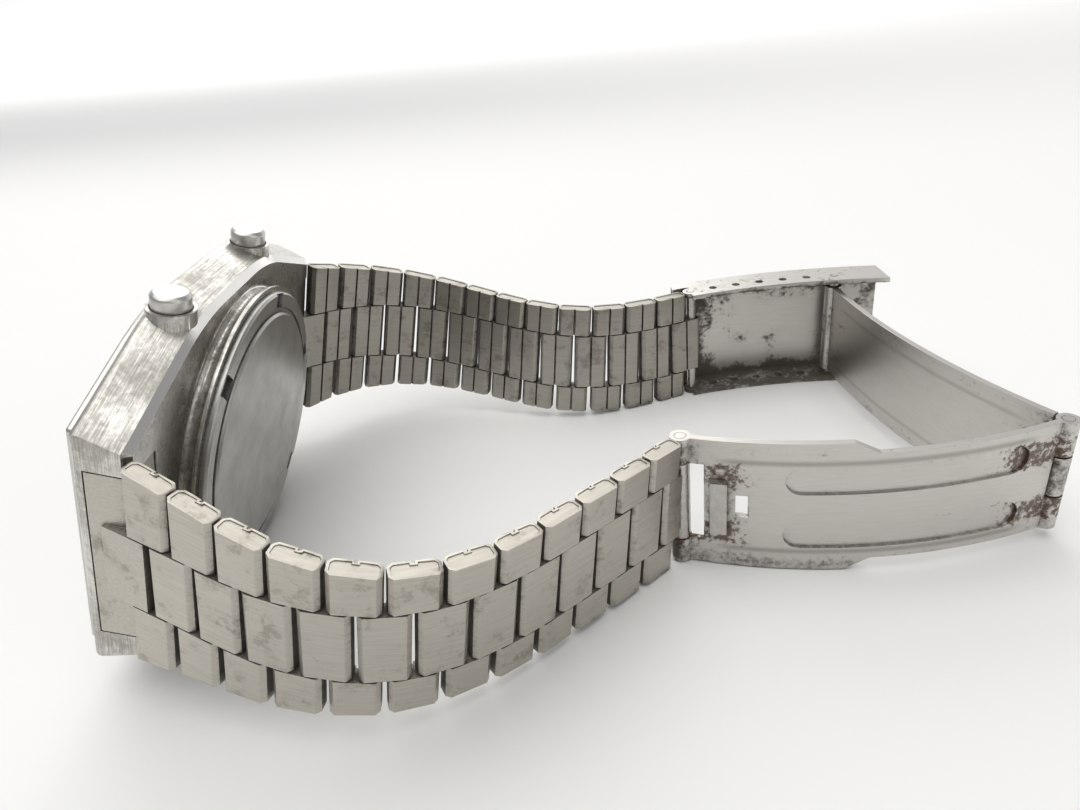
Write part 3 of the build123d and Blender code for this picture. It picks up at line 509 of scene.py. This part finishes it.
# Painted shade from the crevice term darkens the gap round each cap, and stands for the dirt there too
cap_dirt_and_shade = (cap.crevice(0.0010) * 1.3).step(0.5, 0.95)
cap_tone = cap.mix(cap_cloud, (0.70, 0.69, 0.66), (0.52, 0.51, 0.485))
cap.shade(
    cap.mix(cap_dirt_and_shade * 0.9, cap_tone, (0.03, 0.025, 0.02)),
    (cap_cloud * 0.2 + 0.24 + cap_dirt_and_shade * 0.4).low(0.9),
    1.0 - cap_dirt_and_shade * 0.7,
)
cap.bump(cap_cloud, 0.000008, 0.4)
cap_edge = 0.0001
for name in ("lower", "upper"):
    pusher = dressed(f"pusher_{name}", cap_edge, limit=turned_limit)
    pusher.data.materials.append(cap.material)

# Front: a steel bezel pressed on the case, with a mineral crystal seated in it. Neither
# shows in the photograph
bezel_steel = Finish("bezel_steel")
bezel_point = bezel_steel.place(tuple(back_place), case_turn)
bezel_brush = bezel_steel.noise(bezel_steel.stretched(bezel_point, (300.0, 7000.0, 7000.0)), 1.0, 3.0)
bezel_cloud = bezel_steel.noise(bezel_point, 260.0, 4.0)
bezel_steel.shade(
    bezel_steel.mix(bezel_cloud, (0.62, 0.61, 0.58), (0.48, 0.47, 0.445)),
    bezel_brush * 0.14 + bezel_cloud * 0.12 + 0.18,
    1.0,
)
bezel_steel.bump(bezel_brush, 0.00001, 0.5)
bezel_edge = 0.0003
crystal_edge = 0.00025
bezel = dressed("bezel", bezel_edge, segments=3, limit=turned_limit)
bezel.data.materials.append(bezel_steel.material)

glass = Finish("mineral_crystal")
glass_smear = glass.noise(glass.place(), 300.0, 3.0)
glass.shade((0.92, 0.95, 0.95), glass_smear * 0.05 + 0.02, 0.0)
glass.shader.inputs["Transmission Weight"].default_value = 1.0
glass.shader.inputs["IOR"].default_value = 1.5
crystal = dressed("crystal", crystal_edge, segments=3, limit=turned_limit)
crystal.data.materials.append(glass.material)

# Clasp: a cover and two bowed blades, stamped from sheet steel and hinged on pins. The
# cover's inside is dark and pitted towards its edges, and rust sits in the ends of the
# blades' channels. Painted shade darkens their crevices and the edges of the channels
cover_joint = joint_named["cover_pivot"]
fold_joint = joint_named["clasp_fold"]
mid_joint = joint_named["mid_hinge"]


def sheet_steel(name, matrix, length, half_width, tone, patina, channel_rust_and_shade):
    """Worn sheet steel, with patina that creeps in from its ends and long edges, and painted shade in its
    crevices.

    The length and half_width are the sheet's own. The channel weight brings rust to the ends of the channels and
    painted shade along their edges.
    """
    steel = Finish(name)
    point = steel.place(tuple(matrix.translation), tuple(matrix.to_euler()))
    along, across, outward = steel.parts(point)
    brushed = steel.noise(steel.stretched(point, (320.0, 6400.0, 3000.0)), 1.0, 2.0)
    cloud = steel.noise(point, 260.0, 5.0, 0.6)
    spots = steel.noise(point, 1700.0, 5.0, 0.7)
    scratch = steel.noise(steel.stretched(point, (9000.0, 260.0, 3000.0)), 1.0, 2.0)
    side_share = across.size() / half_width
    end_share = (along - length / 2.0).size() / (length / 2.0)
    inside = 1.0 - side_share.step(0.90, 0.99) * 0.75
    edge = (side_share ** 2.4).high(end_share ** 3.0)
    gap = steel.crevice(0.0026)
    patches = (cloud - 0.5) * 2.6 * patina + (spots - 0.5) * 1.5
    # Patina from the ends and edges and wear patches, plus painted shade in the crevices from the crevice term
    wear_and_shade = (edge * patina * inside + gap + patches).step(0.40, 0.95)
    lane = 1.0 - (side_share - 0.45).size().step(0.12, 0.34)
    # Painted shade: dark lines along the edges of the channels, where their shallow walls would cast shade
    channel_edge_line = 1.0 - (side_share - 0.70).size().step(0.0, 0.07)
    channel_edge_shade = channel_edge_line * (1.0 - end_share.step(0.72, 0.86)) * channel_rust_and_shade
    pocket = lane * end_share.step(0.48, 0.80) * channel_rust_and_shade
    rust = (pocket * 0.70 + gap * 0.5 + (cloud - 0.5) * 1.2 + (spots - 0.5) * 2.2).step(0.55, 0.85)
    bright = tuple(tone * share for share in (1.04, 1.01, 0.96))
    dull = tuple(tone * share for share in (0.88, 0.85, 0.80))
    light = steel.mix(brushed, bright, dull)
    dark = steel.mix((wear_and_shade * 0.9).high(channel_edge_shade * 0.4), light, (0.075, 0.062, 0.048))
    colour = steel.mix(rust * 0.85, dark, (0.085, 0.042, 0.02))
    steel.shade(
        colour,
        (brushed * 0.14 + cloud * 0.16 + wear_and_shade * 0.30 + rust * 0.2 + 0.20).low(0.9),
        1.0 - (wear_and_shade * 0.55).high(rust * 0.8),
    )
    steel.bump(brushed * 0.5 + scratch * 0.25 + spots * (0.3 + wear_and_shade), 0.000014, 0.6)
    return steel.material


cover_axes = frame_of(
    cover_joint["pos_m"],
    Vector(fold_joint["pos_m"]) - Vector(cover_joint["pos_m"]),
    cover_joint["axis"],
)
sheet_edge = 0.00009
sheet_limit = 28.0
cover_steel = sheet_steel(
    "cover_sheet_steel", cover_axes, length=0.0305, half_width=0.0083,
    tone=0.62, patina=1.1, channel_rust_and_shade=0.0,
)
cover = dressed("clasp_cover", sheet_edge, limit=sheet_limit)
cover.data.materials.append(cover_steel)

blade_a_axes = frame_of(
    fold_joint["pos_m"], Vector(mid_joint["pos_m"]) - Vector(fold_joint["pos_m"]), cover_joint["axis"]
)
blade_a_steel = sheet_steel(
    "blade_a_sheet_steel", blade_a_axes, length=0.0424, half_width=0.0067,
    tone=0.58, patina=0.45, channel_rust_and_shade=0.6,
)
blade_a = dressed("blade_a", sheet_edge, limit=sheet_limit)
blade_a.data.materials.append(blade_a_steel)

pin_low, pin_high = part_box("end_pin")
end_place = (Vector(pin_low) + Vector(pin_high)) / 2.0
blade_b_axes = frame_of(mid_joint["pos_m"], end_place - Vector(mid_joint["pos_m"]), cover_joint["axis"])
blade_b_steel = sheet_steel(
    "blade_b_sheet_steel", blade_b_axes, length=0.0396, half_width=0.0081,
    tone=0.60, patina=0.4, channel_rust_and_shade=1.0,
)
blade_b = dressed("blade_b", sheet_edge, limit=sheet_limit)
blade_b.data.materials.append(blade_b_steel)

# Small hardware: drawn pins and spring bars that hold the clasp and end links, the clasp's
# sleeve and latch, the pushers' springs and clips, and the cell with its strap
hardware = Finish("pin_steel")
hardware_point = hardware.place()
hardware_cloud = hardware.noise(hardware_point, 900.0, 4.0)
# Dirt patches, plus painted shade in the crevices round the pins from the crevice term
hardware_dirt_and_shade = (hardware.crevice(0.0008) * 1.3 + (hardware_cloud - 0.5) * 0.6).step(0.5, 0.95)
hardware_tone = hardware.mix(hardware_cloud, (0.60, 0.58, 0.55), (0.42, 0.40, 0.375))
hardware.shade(
    hardware.mix(hardware_dirt_and_shade * 0.8, hardware_tone, (0.06, 0.045, 0.03)),
    (hardware_cloud * 0.2 + hardware_dirt_and_shade * 0.3 + 0.18).low(0.9),
    1.0 - hardware_dirt_and_shade * 0.7,
)
hardware.bump(hardware_cloud, 0.00001, 0.5)
for node in (
    "adjust_bar",
    "hinge_bar",
    "mid_hinge_pin",
    "end_pin",
    "end_sleeve",
    "latch_spring",
    "end_link_bar_near",
    "end_link_bar_far",
    "pusher_spring_lower",
    "pusher_spring_upper",
    "pusher_clip_lower",
    "pusher_clip_upper",
    "battery",
    "battery_strap",
):
    piece = frame["nodes"][node]
    piece.data.materials.clear()
    piece.data.materials.append(hardware.material)

# Seals, mask and movement: moulded rubber and plastic pieces that seat inside the case,
# under the crystal and the back
seals = ("back_gasket", "crystal_gasket", "zebra_strip", "pusher_seal_lower", "pusher_seal_upper")
for name, nodes, tone, rough in (
    ("seal_rubber", seals, (0.03, 0.03, 0.032), 0.7),
    ("mask_plastic", ("dial_mask", "module_frame"), (0.02, 0.02, 0.022), 0.45),
    ("display_film", ("lcd_panel",), (0.42, 0.45, 0.38), 0.25),
    ("board_resin", ("circuit_board",), (0.03, 0.12, 0.06), 0.5),
):
    moulded = Finish(name)
    grain = moulded.noise(moulded.place(), 2600.0, 3.0)
    moulded.shade(
        moulded.mix(grain, tone, tuple(part * 0.8 for part in tone)), grain * 0.12 + rough, 0.0
    )
    moulded.bump(grain, 0.00001, 0.3)
    for node in nodes:
        piece = frame["nodes"][node]
        piece.data.materials.clear()
        piece.data.materials.append(moulded.material)
